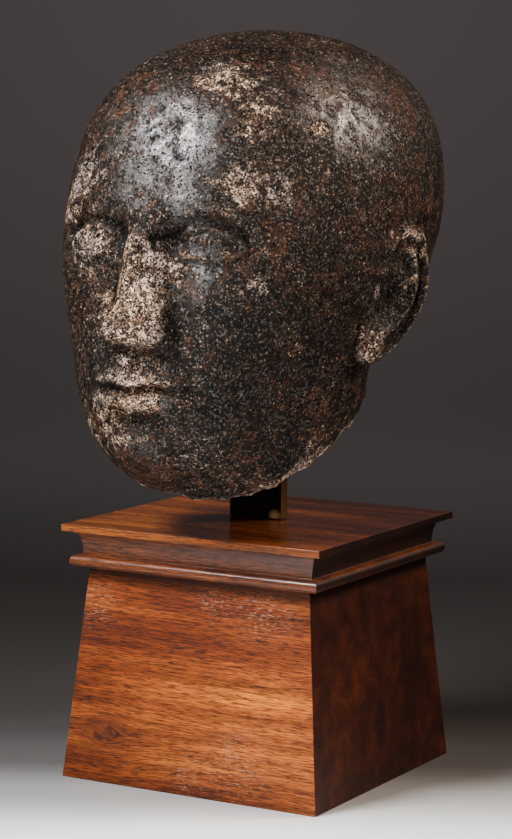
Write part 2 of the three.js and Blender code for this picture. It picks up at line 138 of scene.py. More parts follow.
def hardwood(name, depth, polish, wander, shift, knot, painted_light_at, filled, painted_shade_from):
    """Lacquered hardwood with its fibres along X: bands, fine streaks, open pores and one small knot."""
    made, tree, shader = material(name)
    link = tree.links.new
    coords = add_node(tree, "ShaderNodeTexCoord").outputs["Object"]
    # the fibres wander a little and part round the knot
    parted = add_node(tree, "ShaderNodeSeparateXYZ", Vector=vector_math(tree, "SUBTRACT", coords, knot))
    radius = vector_math(tree, "LENGTH",
        vector_math(tree, "MULTIPLY", vector_math(tree, "SUBTRACT", coords, knot), (0.55, 0.12, 1)),
            output=1)
    square = sums(tree, "MAXIMUM", sums(tree, "MULTIPLY", radius, radius), 0.000016)
    open_up = sums(tree, "SUBTRACT", 1.0, sums(tree, "DIVIDE", 0.000016, square))
    drift = noise(tree, place_on(tree, (9, 7, 6), shift=shift), 1.0, 1.0, 0.4)
    lift = sums(tree, "MULTIPLY", sums(tree, "SUBTRACT", drift, 0.5), wander)
    z = sums(tree, "ADD", sums(tree, "MULTIPLY", parted.outputs["Z"], open_up), lift)
    grain = add_node(tree, "ShaderNodeCombineXYZ", X=parted.outputs["X"], Y=parted.outputs["Y"],
        Z=z).outputs[0]

    def fibres(x, yz, detail=2.0, roughness=0.6):
        vector = add_node(tree, "ShaderNodeMapping", Vector=grain, Scale=(x, yz, yz),
            Location=shift).outputs["Vector"]
        return noise(tree, vector, 1.0, detail, roughness)

    bands = fibres(6, 95, 3.0, 0.5)
    glow = noise(tree, place_on(tree, (11, 14, 19), shift=shift), 1.0, 1.0)
    tone = sums(tree, "ADD", sums(tree, "MULTIPLY", bands, 0.68), sums(tree, "MULTIPLY", glow, 0.32))
    # painted light: the tone is raised in a soft patch round one point, the sheen on the front of the body
    # and the lit front-left of the cap's top
    painted_light_reach = vector_math(tree, "LENGTH",
        vector_math(tree, "MULTIPLY", vector_math(tree, "SUBTRACT", coords, painted_light_at), (16, 4, 30)),
            output=1)
    tone = sums(tree, "ADD", tone, ramp(tree, painted_light_reach, [(0.0, 0.10), (1.0, 0.0)], "EASE"))
    colour = ramp(tree, tone,
        [(0.36, (0.11, 0.020, 0.004)), (0.47, (0.20, 0.042, 0.006)), (0.57, (0.34, 0.082, 0.010)),
            (0.72, (0.66, 0.18, 0.016))])
    streaks = fibres(80, 2100, 2.0, 0.7)
    veins = fibres(16, 520, 3.0, 0.65)
    colour = mix(tree, "MULTIPLY", 1.0, colour, (depth, depth, depth, 1))
    colour = mix(tree, "MULTIPLY", 0.9, colour,
        ramp(tree, veins, [(0.32, 0.55), (0.50, 1.0), (0.66, 1.25)]))
    colour = mix(tree, "MULTIPLY", 0.95, colour,
        ramp(tree, streaks, [(0.34, 0.30), (0.48, 0.88), (0.62, 1.35)]))
    pores = ramp(tree, fibres(170, 2700, 1.0, 0.5), [(0.40, 0.0), (0.46, 1.0)])
    colour = mix(tree, "MULTIPLY", 0.82, colour,
        mix(tree, "MIX", pores, (0.20, 0.10, 0.08, 1), (1, 1, 1, 1)))
    # in places the pores are choked with pale filler
    for at, reach in filled:
        near = ramp(tree, vector_math(tree, "DISTANCE", coords, at, output=1),
            [(reach * 0.3, 1.0), (reach, 0.0)])
        grit = ramp(tree, fibres(330, 3400, 1.0, 0.5), [(0.60, 0.0), (0.67, 0.55)])
        colour = mix(tree, "MIX", sums(tree, "MULTIPLY", near, grit), colour, (0.52, 0.31, 0.21, 1))
    # painted shade: a dark band round the body just under the moulding, where the bead's shadow falls
    height = add_node(tree, "ShaderNodeSeparateXYZ", Vector=coords).outputs["Z"]
    corner = add_node(tree, "ShaderNodeMapRange", Value=height, From_Min=painted_shade_from,
        From_Max=painted_shade_from + 0.0065).outputs[0]
    colour = mix(tree, "MULTIPLY", corner, colour, (0.16, 0.13, 0.12, 1))
    heart = ramp(tree, radius, [(0.0012, 1.0), (0.0052, 0.35), (0.013, 0.0)])
    colour = mix(tree, "MIX", sums(tree, "MULTIPLY", heart, 0.85), colour, (0.045, 0.010, 0.005, 1))
    # the end grain on the side faces drinks the stain and goes dark, and is darkened further as painted
    # shade on those faces
    normal = add_node(tree, "ShaderNodeNewGeometry").outputs["Normal"]
    facing = add_node(tree, "ShaderNodeSeparateXYZ", Vector=normal).outputs["X"]
    ends = ramp(tree, sums(tree, "ABSOLUTE", facing, 0), [(0.55, 0.0), (0.9, 1.0)])
    layers = noise(tree, place_on(tree, (3, 85, 9), shift=shift), 1.0, 3.0)
    dark = ramp(tree, layers, [(0.35, (0.10, 0.07, 0.08)), (0.65, (0.18, 0.13, 0.14))])
    colour = mix(tree, "MULTIPLY", ends, colour, dark)
    link(colour, shader.inputs["Base Color"])
    gloss = mix(tree, "MIX", pores, (0.62, 0.62, 0.62, 1), ramp(tree, streaks, [(0.3, 0.46), (0.7, 0.36)]))
    link(gloss, shader.inputs["Roughness"])
    relief = sums(tree, "ADD", sums(tree, "MULTIPLY", pores, 0.6), sums(tree, "MULTIPLY", streaks, 0.4))
    bump = add_node(tree, "ShaderNodeBump", Height=relief, Strength=0.35, Distance=0.00012)
    link(bump.outputs[0], shader.inputs["Normal"])
    shader.inputs["Specular IOR Level"].default_value = 0.22
    shader.inputs["Coat Weight"].default_value = polish
    shader.inputs["Coat Roughness"].default_value = 0.14
    return made


def finished(name, made, node):
    """Names the selected piece, gives it its finish, and sets it in the place of its solid."""
    piece = bpy.context.object
    piece.name = name
    piece.data.name = name
    piece.data.materials.clear()
    piece.data.materials.append(made)
    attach(piece, "root")
    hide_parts(node)
    return piece


def start(operator, **how):
    """Adds a primitive with nothing else selected."""
    bpy.ops.object.select_all(action="DESELECT")
    operator(**how)
    return bpy.context.object


def soften(piece, width, segments=2, angle=30):
    """Breaks the sharp edges of a piece and shades the rest smooth."""
    bevel = piece.modifiers.new("arris", "BEVEL")
    bevel.width = width
    bevel.segments = segments
    bevel.limit_method = "ANGLE"
    bevel.angle_limit = math.radians(angle)
    bpy.ops.object.modifier_apply(modifier="arris")
    bpy.ops.object.shade_smooth_by_angle(angle=math.radians(60))
    piece.modifiers.new("flat_sides", "WEIGHTED_NORMAL").keep_sharp = True
    bpy.ops.object.modifier_apply(modifier="flat_sides")


body = start(bpy.ops.mesh.primitive_plane_add, size=2 * BODY_FOOT_HALF)
bpy.ops.object.mode_set(mode="EDIT")
bpy.ops.mesh.select_all(action="SELECT")
bpy.ops.mesh.extrude_region_move(TRANSFORM_OT_translate={"value": (0, 0, BODY_HEIGHT)})
bpy.ops.transform.resize(value=(BODY_TOP_HALF / BODY_FOOT_HALF,) * 2 + (1,),
    center_override=(0, 0, BODY_HEIGHT))
bpy.ops.mesh.select_all(action="SELECT")
bpy.ops.mesh.normals_make_consistent(inside=False)
bpy.ops.object.mode_set(mode="OBJECT")
soften(body, ARRIS)
finished("wooden_body",
    hardwood("body_wood", 0.94, 0.06, 0.006, (0.4, 0.1, 0.0), (-0.0465, -0.066, 0.024),
        (0.040, -0.066, 0.052), FILLED, 0.0945), "plinth_body")


# Plinth cap: one board of the same wood. A bead, a hollow and a square fillet are cut along
# its edges with a spindle moulder and meet in crisp corners; the board is glued on the body.
CAP_BOTTOM = 0.103
BEAD_RADIUS = 0.00295
BEAD_REACH = 0.0678
HOLLOW_FOOT = 0.0628
HOLLOW_HEAD = 0.0667
FILLET_REACH = 0.0705
FILLET_BOTTOM = 0.1205
CAP_TOP = 0.124

profile = []
for i in range(13):
    a = math.pi * i / 12 - math.pi / 2
    profile.append((BEAD_REACH - BEAD_RADIUS + BEAD_RADIUS * math.cos(a),
        CAP_BOTTOM + BEAD_RADIUS + BEAD_RADIUS * math.sin(a)))
ledge = CAP_BOTTOM + 2 * BEAD_RADIUS
for i in range(13):
    a = math.pi / 2 * i / 12
    profile.append((HOLLOW_HEAD - (HOLLOW_HEAD - HOLLOW_FOOT) * math.cos(a),
        ledge + (FILLET_BOTTOM - ledge) * math.sin(a)))
profile += [(FILLET_REACH, FILLET_BOTTOM), (FILLET_REACH, CAP_TOP)]

cap = start(bpy.ops.mesh.primitive_plane_add, size=2 * profile[0][0], location=(0, 0, profile[0][1]))
bpy.ops.object.transform_apply()
bpy.ops.object.mode_set(mode="EDIT")
bpy.ops.mesh.select_all(action="SELECT")
for (reach, z), (wider, higher) in zip(profile, profile[1:]):
    bpy.ops.mesh.extrude_region_move(TRANSFORM_OT_translate={"value": (0, 0, higher - z)})
    bpy.ops.transform.resize(value=(wider / reach, wider / reach, 1), center_override=(0, 0, higher))
bpy.ops.mesh.select_all(action="SELECT")
bpy.ops.mesh.normals_make_consistent(inside=False)
bpy.ops.object.mode_set(mode="OBJECT")
soften(cap, 0.00035, angle=35)
finished("wooden_cap",
    hardwood("cap_wood", 0.46, 0.5, 0.003, (0.9, 0.35, 0.52), (0.25, 0.25, 0.11), (-0.06, -0.05, 0.12), [],
        0.2), "plinth_cap")


# Post: a flat bronze bar, patinated almost black; its narrow upright sides are coloured bright brass as a
# painted reflection.
# It stands on the cap and is let into the broken underside of the stone.
POST_WIDTH = 0.029
POST_THICKNESS = 0.0066
POST_X = -0.0015
POST_FOOT = 0.1243
POST_TOP = 0.188


def dark_bronze():
    made, tree, shader = material("dark_bronze")
    link = tree.links.new
    cloud = noise(tree, place_on(tree, (60, 60, 25)), 1.0, 4.0, 0.6)
    brushed = noise(tree, place_on(tree, (1500, 1500, 40)), 1.0, 2.0, 0.6)
    colour = ramp(tree, cloud,
        [(0.35, (0.0035, 0.003, 0.0026)), (0.58, (0.008, 0.006, 0.0045)), (0.75, (0.022, 0.014, 0.008))])
    # painted reflection: the narrow sides are coloured bright brass for the golden reflection they show,
    # and a tiny spot at one corner of the foot paints a glint
    normal = add_node(tree, "ShaderNodeNewGeometry").outputs["Normal"]
    facing = add_node(tree, "ShaderNodeSeparateXYZ", Vector=normal).outputs["X"]
    reflecting_sides = ramp(tree, sums(tree, "ABSOLUTE", facing, 0), [(0.5, 0.0), (0.95, 0.55)])
    coords = add_node(tree, "ShaderNodeTexCoord").outputs["Object"]
    corner = vector_math(tree, "DISTANCE", coords,
        (POST_X + POST_WIDTH / 2 - 0.0035, -POST_THICKNESS / 2, POST_FOOT + 0.0015), output=1)
    corner = ramp(tree, corner, [(0.0003, 1.0), (0.0008, 0.0)])
    painted_reflection = sums(tree, "MAXIMUM", reflecting_sides, corner)
    colour = mix(tree, "MIX", painted_reflection, colour, (0.42, 0.24, 0.09, 1))
    link(colour, shader.inputs["Base Color"])
    shader.inputs["Metallic"].default_value = 1.0
    link(ramp(tree, brushed, [(0.3, 0.30), (0.7, 0.46)]), shader.inputs["Roughness"])
    bump = add_node(tree, "ShaderNodeBump", Height=brushed, Strength=0.15, Distance=0.00005)
    link(bump.outputs[0], shader.inputs["Normal"])
    return made


post = start(bpy.ops.mesh.primitive_cube_add, size=1, location=(POST_X, 0, (POST_FOOT + POST_TOP) / 2),
    scale=(POST_WIDTH, POST_THICKNESS, POST_TOP - POST_FOOT))
bpy.ops.object.transform_apply()
soften(post, 0.0005, 3)
finished("bronze_post", dark_bronze(), "mounting_post")


# Head: one block of dark granite, carved and polished, then battered: the nose, brows, lips and
# ears are bruised and the neck is broken off. Skull, face and jaw flow into one another; the
# carving is a relief on that mass, and the ears are flat shells that stand off the skull.
HEAD_AT = np.array([-3.0, -16.0, 236.5])
LEAN_BACK = math.radians(9)
BROW_LINE = 30
EYE_LINE = 11.5
EYE_X = 30.5
EYE_HALF_LENGTH = 15.5
UPPER_LID_RISE = 7
LOWER_LID_DROP = 4.6
NOSE_BASE = -34
NOSE_RISE = 18
NOSE_BREAK = -96
MOUTH_LINE = -55
MOUTH_HALF_LENGTH = 28
CHIN_LINE = -83
BREAK_LOW = 142
BREAK_TURN = -50
BREAK_RISE = 0.47
BREAK_BOWL = 0.0075
BREAK_MIDDLE = 8
RAY_CENTRE = np.array([0, 0, 8.0])
FACE_PULL = 0.35


def swell(t):
    """Falls smoothly from 1 at 0 to 0 at 1 and beyond."""
    return (1 - np.clip(np.abs(t), 0, 1) ** 2) ** 2


def ease(a, b, x):
    """Rises smoothly from 0 at a to 1 at b."""
    t = np.clip((x - a) / (b - a), 0, 1)
    return t * t * (3 - 2 * t)


def merged(a, b, width):
    h = np.clip(0.5 + 0.5 * (b - a) / width, 0, 1)
    return b + (a - b) * h - width * h * (1 - h)


def trimmed(a, b, width):
    return -merged(-a, -b, width)


def egg(x, y, z, at, radii, power):
    """Distance to an egg with squared shoulders."""
    q = [np.abs((v - c) / r) + 1e-9 for v, c, r in zip((x, y, z), at, radii)]
    total = sum(v ** power for v in q)
    slope = np.sqrt(sum((v ** (power - 1) / r) ** 2 for v, r in zip(q, radii)))
    return (total ** (1 / power) - 1) / (slope * total ** (1 / power - 1))


def lattice(i, j, k, seed):
    keep = 0xFFFFFFFF
    n = (i * 374761393 + j * 668265263 + k * 1274126177 + seed * 362437) & keep
    n = ((n ^ (n >> 13)) * 1103515245) & keep
    n = ((n ^ (n >> 15)) * 12345677) & keep
    return ((n >> 8) & 0xFFFF) / 65535


def uneven(p, lump, seed):
    """Smooth unevenness between -1 and 1 over an array of points, in lumps of the given size."""
    q = p / lump
    cell = np.floor(q).astype(np.int64)
    f = q - cell
    f = f * f * (3 - 2 * f)
    total = 0
    for a in (0, 1):
        for b in (0, 1):
            for c in (0, 1):
                weight = np.prod(np.where([a, b, c], f, 1 - f), axis=-1)
                total = total + weight * lattice(cell[..., 0] + a, cell[..., 1] + b, cell[..., 2] + c, seed)
    return 2 * total - 1


def stand(p):
    """From the head's own frame to the plinth's, in millimetres."""
    c, s = math.cos(LEAN_BACK), math.sin(LEAN_BACK)
    return np.stack([p[:, 0], p[:, 1] * c + p[:, 2] * s, p[:, 2] * c - p[:, 1] * s], -1) + HEAD_AT


def lie(p):
    """The way back, from the plinth's frame to the head's own."""
    c, s = math.cos(LEAN_BACK), math.sin(LEAN_BACK)
    q = p - HEAD_AT
    return np.stack([q[:, 0], q[:, 1] * c - q[:, 2] * s, q[:, 2] * c + q[:, 1] * s], -1)


def skull_mass(x, y, z):
    d = egg(x, y, z, (0, 6, 39), (81, 96.5, 82), 2.2)
    d = merged(d, egg(x, y, z, (0, 35, 65), (72, 66, 61), 2.4), 20)
    d = merged(d, egg(x, y, z, (0, -20, -6), (68, 67, 72), 2.3), 24)
    d = merged(d, egg(x, y, z, (0, -40, -56), (46, 46, 41), 2.2), 22)
    d = merged(d, egg(np.abs(x), y, z, (37, -12, -40), (24, 32, 32), 2), 22)
    return merged(d, egg(x, y, z, (0, 10, -70), (60, 60, 62), 2.2), 18)


def eyes(side, z):
    u = (side - EYE_X) / EYE_HALF_LENGTH
    opened = np.clip(1 - u * u, 0, 1)
    upper = EYE_LINE + UPPER_LID_RISE * opened ** 0.75 - 0.4 * u
    lower = EYE_LINE - LOWER_LID_DROP * opened ** 0.85 - 0.4 * u
    within = 1 - ease(0.96, 1.12, np.abs(u))
    rims = 1.9 * swell((z - upper - 1.1) / 2.4) + 1.5 * swell((z - lower + 1) / 2.2)
    crease = 1.1 * swell((z - upper - 5.2) / 2.4)
    socket = 6 * swell(np.hypot((side - 31) / 26, (z - 14) / 15))
    corner = 5 * swell(np.hypot((side - 14) / 10, (z - 13) / 12))
    ball = 6.6 * swell(np.hypot((side - 31) / 20, (z - 12.5) / 11.5))
    return ball - socket - corner + within * (rims - crease)


def brows(side, z):
    arch = BROW_LINE - 0.005 * (side - 28) ** 2
    ridge = swell((z - arch) / 11) * ease(0, 14, side) * (1 - ease(44, 60, side))
    bridge = swell((z - BROW_LINE + 2) / 16) * swell(side / 24)
    return 2.2 * ridge + 1.4 * bridge


def nose(side, z):
    down = np.clip((20 - z) / 48, 0, 1)
    ends = ease(NOSE_BASE - 4, NOSE_BASE + 6, z) * (1 - ease(8, 34, z))
    wedge = (5.5 + NOSE_RISE * down) * ends * swell(side / (11 + 10 * down ** 1.5))
    return wedge + 7 * swell(np.hypot((side - 12) / 8, (z - NOSE_BASE - 6) / 9))


def mouth(side, z):
    line = MOUTH_LINE + 0.003 * side * side - 0.8 * swell(side / 8)
    mound = 4 * swell(np.hypot(side / 40, (z - MOUTH_LINE + 1) / 30))
    upper = 3.2 * swell((z - line - 4.2) / 5.6) * (1 - ease(12, 27, side))
    lower = 3.8 * swell((z - line + 5.4) / 6.8) * (1 - ease(8, 25, side))
    parting = 2.2 * swell((z - line) / 2.4) * (1 - ease(20, 30, side))
    corner = swell(np.hypot((side - MOUTH_HALF_LENGTH) / 8, (z - MOUTH_LINE - 1) / 8))
    groove = 0.9 * swell(side / 4) * swell((z - MOUTH_LINE - 12) / 7)
    return mound + upper + lower - parting - corner - groove


def cheeks_and_chin(side, z):
    cheek = 2 * swell(np.hypot((side - 44) / 28, (z + 6) / 22))
    fold = 0.8 * swell((side - 6.4 + 0.42 * z) / 7) * swell((z + 46) / 22)
    hollow = 2.6 * swell((z - MOUTH_LINE + 14) / 8) * swell(side / 26)
    chin = 4.5 * swell(np.hypot(side / 25, (z - CHIN_LINE) / 17))
    return cheek + chin - fold - hollow


def head_parts(p):
    """Distances to the whole head, to the nose's bruised front and to the broken neck."""
    x, y, z = p.T
    side = np.abs(x)
    X, Y, Z = stand(p).T
    lumps = 2.2 * uneven(stand(p), 11, 3) + uneven(stand(p), 5, 4)
    carving = eyes(side, z) + brows(side, z) + nose(side, z) + mouth(side, z) + cheeks_and_chin(side, z)
    whole = skull_mass(x, y, z) - carving * ease(-25, -55, y)
    clear = 14 * (ease(1, 24, z) + ease(20, 32, side))
    struck = NOSE_BREAK + 0.13 * (z + 10) - y + 0.7 * lumps - clear
    bowl = BREAK_BOWL * (X - BREAK_MIDDLE) ** 2
    floor = BREAK_LOW + BREAK_RISE * np.maximum(0, Y - BREAK_TURN) + bowl
    return whole, struck, 0.9 * (floor - Z) + lumps


def head_form(p):
    whole, struck, broken = head_parts(p)
    return trimmed(trimmed(whole, struck, 3), broken, 5)


def points_of(piece):
    flat = np.empty(len(piece.data.vertices) * 3)
    piece.data.vertices.foreach_get("co", flat)
    return flat.reshape(-1, 3)


def move_points(piece, points):
    piece.data.vertices.foreach_set("co", np.asarray(points, dtype=np.float64).ravel())
    piece.data.update()


head = start(bpy.ops.mesh.primitive_cube_add, size=2)
bpy.ops.object.mode_set(mode="EDIT")
bpy.ops.mesh.select_all(action="SELECT")
bpy.ops.mesh.subdivide(number_cuts=3)
bpy.ops.mesh.subdivide(number_cuts=27)
bpy.ops.object.mode_set(mode="OBJECT")
rays = np.tan(points_of(head) * math.pi / 4)
rays /= np.linalg.norm(rays, axis=1, keepdims=True)
rays[:, 1] -= FACE_PULL
rays /= np.linalg.norm(rays, axis=1, keepdims=True)
inner, outer = np.full(len(rays), 30.0), np.full(len(rays), 160.0)
for _ in range(17):
    middle = (inner + outer) / 2
    inside = head_form(RAY_CENTRE + rays * middle[:, None]) < 0
    inner, outer = np.where(inside, middle, inner), np.where(inside, outer, middle)
move_points(head, stand(RAY_CENTRE + rays * inner[:, None]) / 1000)

EAR_AT = np.array([75.5, 5.5, 2.0])
EAR_LENGTH = 74
EAR_WIDTH = 38
EAR_SINK = 12
tip, flare, tuck = (math.radians(a) for a in (15, 16, 7))
ear_up = np.array([math.tan(tuck), math.sin(tip), math.cos(tip)])
ear_up /= np.linalg.norm(ear_up)
ear_back = np.array([math.tan(flare), math.cos(tip), -math.sin(tip)])
ear_back -= ear_up * (ear_back @ ear_up)
ear_back /= np.linalg.norm(ear_back)
ear_out = np.cross(ear_back, ear_up)


def ear_height(u, v, side):
    """Height of an ear's battered carving over its base; u runs up its length, v to its back edge."""
    at = np.stack([u, v, np.full_like(u, 0.9 * side)], -1)
    nick = 0.5 + 0.5 * uneven(at, 0.3, 23)
    u, v = u + 0.08 * uneven(at, 0.42, 21), v + 0.08 * uneven(at, 0.42, 22)
    r = np.hypot(u, v)
    angle = np.abs(np.arctan2(v, u))
    end = np.where(v > 0, 1 - ease(2.3, 2.9, angle), 1 - ease(1, 1.5, angle))
    inner = np.hypot((u - 0.02) / 0.6, (v - 0.02) / 0.58)
    rim = 4 * swell((r - 0.83) / 0.19) * end * (1 - 0.3 * nick)
    scoop = 2.4 * swell((inner - 1.25) / 0.18) * ease(-0.1, 0.3, v) * nick
    fold = 3.4 * swell((inner - 0.88) / 0.26) * ease(-0.25, 0.15, v) * (1 - 0.5 * nick)
    lobe = 3.4 * swell(np.hypot((u + 0.72) / 0.36, (v + 0.05) / 0.6))
    flap = 3.6 * swell(np.hypot((u + 0.12) / 0.2, (v + 0.62) / 0.3))
    hollow = 6.5 * swell(np.hypot((u + 0.12) / 0.42, (v + 0.12) / 0.46))
    return 5 + rim + fold + lobe + flap - hollow - scoop


def joined(piece, other, operation):
    """Joins or cuts with another solid, which is used up."""
    bpy.ops.object.select_all(action="DESELECT")
    bpy.context.view_layer.objects.active = piece
    piece.select_set(True)
    cutter = piece.modifiers.new("joint", "BOOLEAN")
    cutter.object = other
    cutter.operation = operation
    cutter.solver = "MANIFOLD"
    bpy.ops.object.modifier_apply(modifier="joint")
    bpy.data.objects.remove(other)


for side in (1, -1):
    ear = start(bpy.ops.mesh.primitive_uv_sphere_add, segments=84, ring_count=48, radius=1)
    ball = points_of(ear)
    polar = np.arccos(np.clip(ball[:, 2], -1, 1)) / math.pi * 48
    turn = np.arctan2(ball[:, 1], ball[:, 0])
    front = np.clip(polar / 30, 0, 1) ** 0.8 * 0.97
    share = np.interp(polar, [30, 33, 36, 40, 48], [0.97, 1.0, 1.0, 0.93, 0.0])
    share = np.where(polar <= 30, front, share)
    u, v = share * np.cos(turn), share * np.sin(turn)
    face = ear_height(u, v, side) - 2.6 * ease(0.86, 0.99, share)
    rear = np.interp(polar, [30, 32, 36, 40, 44, 48], [0, 1.8, -1.5, -5, -EAR_SINK, -EAR_SINK])
    edge = ear_height(0.97 * np.cos(turn), 0.97 * np.sin(turn), side) - 2.6
    blend_in = ease(30, 33, polar)
    height = np.where(polar <= 30, face, edge * (1 - blend_in) + rear * blend_in)
    low = np.clip(-u, 0, 1)
    across = v * (1 - 0.22 * low ** 1.5) - 0.14 * low
    p = EAR_AT + ear_up * (u * EAR_LENGTH / 2)[:, None] + ear_back * (across * EAR_WIDTH / 2)[:,
        None] + ear_out * height[:, None]
    p[:, 0] *= side
    move_points(ear, stand(p) / 1000)
    bpy.ops.object.mode_set(mode="EDIT")
    bpy.ops.mesh.select_all(action="SELECT")
    bpy.ops.mesh.normals_make_consistent(inside=False)
    bpy.ops.object.mode_set(mode="OBJECT")
    joined(head, ear, "UNION")

pocket_height = POST_TOP + 0.0003 - CAP_TOP
pocket = start(bpy.ops.mesh.primitive_cube_add, size=1, location=(POST_X, 0, CAP_TOP + pocket_height / 2),
    scale=(POST_WIDTH + 0.0006, POST_THICKNESS + 0.0006, pocket_height))
bpy.ops.object.transform_apply()
joined(head, pocket, "DIFFERENCE")

# Where the stone is bruised, stained with rust, darkened as painted shade, or still polished: middle, reach
# and strength of each spot.
BRUISES = [
    ((22, -71, 90), 17, 0.85), ((39, -68, 78), 13, 0.75), ((41, -76, 66), 9, 0.7), ((42, -81, 40), 14, 0.8),
    ((55, -71, 41), 12, 0.8), ((-38, -82, 45), 17, 0.7), ((-50, -76, 34), 18, 0.8),
        ((-32, -86, 12), 18, 0.8),
    ((4, -95, -2), 20, 1.0), ((2, -97, -20), 20, 1.0), ((-14, -88, -20), 17, 0.8),
        ((-3, -91, -42), 13, 1.0),
    ((3, -92, -55), 13, 1.0), ((-14, -84, -68), 17, 0.7), ((-30, -70, -76), 18, 0.6),
        ((51, -75, -6), 8, 0.8),
    ((62, -49, -30), 7, 0.6), ((59, -41, -52), 7, 0.6), ((49, -43, -71), 9, 0.6), ((63, -51, 70), 6, 1.0),
    ((68, -47, 52), 8, 0.6), ((20, -60, -92), 24, 0.5), ((56, -20, -80), 18, 0.6),
        ((-55, -50, -10), 22, 0.5),
    ((-40, 40, 118), 20, 0.8), ((-62, -30, 75), 16, 0.8), ((-70, 45, 30), 18, 0.7),
        ((20, 105, 50), 24, 0.7),
    ((64, 60, 15), 16, 0.6), ((5, 30, 125), 18, 0.5), ((-30, 92, 75), 15, 0.7), ((-25, 98, 10), 20, 0.6),
]
RUST = [
    ((60, -67, 27), 20, 1.0), ((57, -71, 8), 14, 0.9), ((72, -22, 28), 24, 0.8), ((60, -40, 100), 24, 0.8),
    ((78, 20, 50), 26, 1.0), ((72, 10, 90), 24, 0.8), ((-20, -80, 80), 20, 0.8), ((-70, 0, 60), 30, 0.8),
    ((-45, 80, 60), 30, 0.7), ((0, 60, 115), 30, 0.6), ((55, 85, 30), 28, 0.7), ((66, -30, -60), 18, 0.8),
    ((0, -70, -90), 22, 0.9), ((40, -50, -85), 20, 0.7), ((66, -45, 0), 18, 0.5),
]
# painted shade: spots darkened where the light falls off, on the cheeks and jaw, the underside, and the
# sides, back and top of the head
DARKENED = [
    ((47, -69, -32), 24, 1.0), ((40, -71, -55), 18, 0.8), ((48, -45, -72), 22, 1.0),
        ((59, -41, -52), 20, 1.0),
    ((69, -36, -19), 24, 0.9), ((72, -44, 40), 18, 0.7), ((80, 20, 67), 34, 1.0), ((21, -40, 111), 22, 0.7),
    ((0, 20, 122), 40, 0.6), ((-60, -40, -30), 26, 0.6), ((0, 100, 40), 40, 0.7), ((-75, 20, 40), 32, 0.6),
    ((20, -50, -95), 24, 0.8), ((75, 10, -30), 26, 0.8), ((62, -60, -8), 14, 0.5),
]
POLISHED = [
    ((5, -88, 62), 34, 1.0), ((-22, -84, 66), 22, 0.9), ((24, -89, 0), 15, 0.9), ((64, -30, 85), 30, 0.9),
    ((40, -20, 108), 26, 0.7), ((0, 0, 122), 40, 0.6), ((20, -90, 30), 12, 0.8), ((-60, 20, 95), 30, 0.6),
    ((-20, 85, 90), 30, 0.6), ((28, -80, 12), 14, 0.6),
]


def spots(p, places):
    reach = np.zeros(len(p))
    for at, radius, strength in places:
        distance = np.linalg.norm(p - np.array(at), axis=1) / radius
        reach = np.maximum(reach, strength * (1 - ease(0.2, 1.5, distance)))
    return reach


def sunk(piece, points, normals, rounds):
    """How deep each point lies below the average of the surface round it, in the points' own unit."""
    ends = np.empty(2 * len(piece.data.edges), dtype=np.int64)
    piece.data.edges.foreach_get("vertices", ends)
    here, there = np.concatenate([ends[::2], ends[1::2]]), np.concatenate([ends[1::2], ends[::2]])
    count = np.maximum(np.bincount(here, minlength=len(points)), 1)
    level = points
    for _ in range(rounds):
        level = np.stack([np.bincount(here, level[there, i], len(points)) / count for i in range(3)], -1)
    return np.sum((level - points) * normals, axis=1)


def remember(piece, name, values):
    layer = piece.data.attributes.new(name, "FLOAT", "POINT")
    layer.data.foreach_set("value", np.asarray(values, dtype=np.float32))


p = lie(points_of(head) * 1000)
row = stand(p)
whole, struck, broken = head_parts(p)
beside = np.stack([np.abs(p[:, 0]), p[:, 1], p[:, 2]], -1) - EAR_AT
up_ear, along_ear, off_ear = beside @ ear_up / 37, beside @ ear_back / 19, beside @ ear_out
on_ear = (1 - ease(0.95, 1.2, np.hypot(up_ear, along_ear))) * ease(1, 4, off_ear) * (np.abs(p[:, 0]) > 60)
top_roll = on_ear * ease(0.35, 0.7, up_ear)
lobe = on_ear * ease(-0.35, -0.6, up_ear)
fracture = ease(-2.0, 0.5, broken - np.maximum(whole, -1.0))
bruised = np.maximum.reduce([spots(p, BRUISES), 0.35 * on_ear, 0.9 * top_roll, 0.8 * lobe, 0.8 * fracture])
in_pocket = (np.abs(row[:, 0] - POST_X * 1000) < 16) & (np.abs(row[:, 1]) < 5) & (row[:, 2] < POST_TOP
    * 1000 + 2) & (np.abs(broken) > 1.5) & (whole < -3)
normals = np.empty(len(p) * 3)
head.data.vertices.foreach_get("normal", normals)
normals = normals.reshape(-1, 3)
carved = sunk(head, row, normals, 12)
chips = 0.45 + 0.8 * uneven(row, 4.3, 11) + 0.5 * uneven(row, 2.2, 12) + 0.8 * uneven(row, 9.0, 13)
worn_skin = 0.35 * np.abs(uneven(row, 15, 14)) + 0.16 * np.abs(uneven(row, 6, 15))
chips = chips + on_ear * (0.4 + 1.6 * uneven(row, 7.0, 16)) + fracture * 1.2 * uneven(row, 13.0, 17)
depth = np.clip(bruised * chips, 0, None) + (1 - spots(p, POLISHED)) * worn_skin
depth = np.where(in_pocket, 0, depth)
move_points(head, (row - normals * depth[:, None]) / 1000)
remember(head, "bruised", bruised)
remember(head, "rust", spots(p, RUST))
# painted shade spots, kept on the points
remember(head, "painted_shade_spots", spots(p, DARKENED))
remember(head, "polish", spots(p, POLISHED) * (1 - bruised))
# painted shade: the carved hollows and the deep parts of the ears are darkened in the stone's colour
deep_in_ear = on_ear * (1 - ease(4.0, 7.0, off_ear))
remember(head, "hollow", np.maximum(np.clip((carved - 0.05) / 0.55, 0, 1), 0.8 * deep_in_ear))
remember(head, "ridge", np.clip((-carved - 0.25) / 0.6, 0, 1))
bpy.ops.object.shade_smooth()


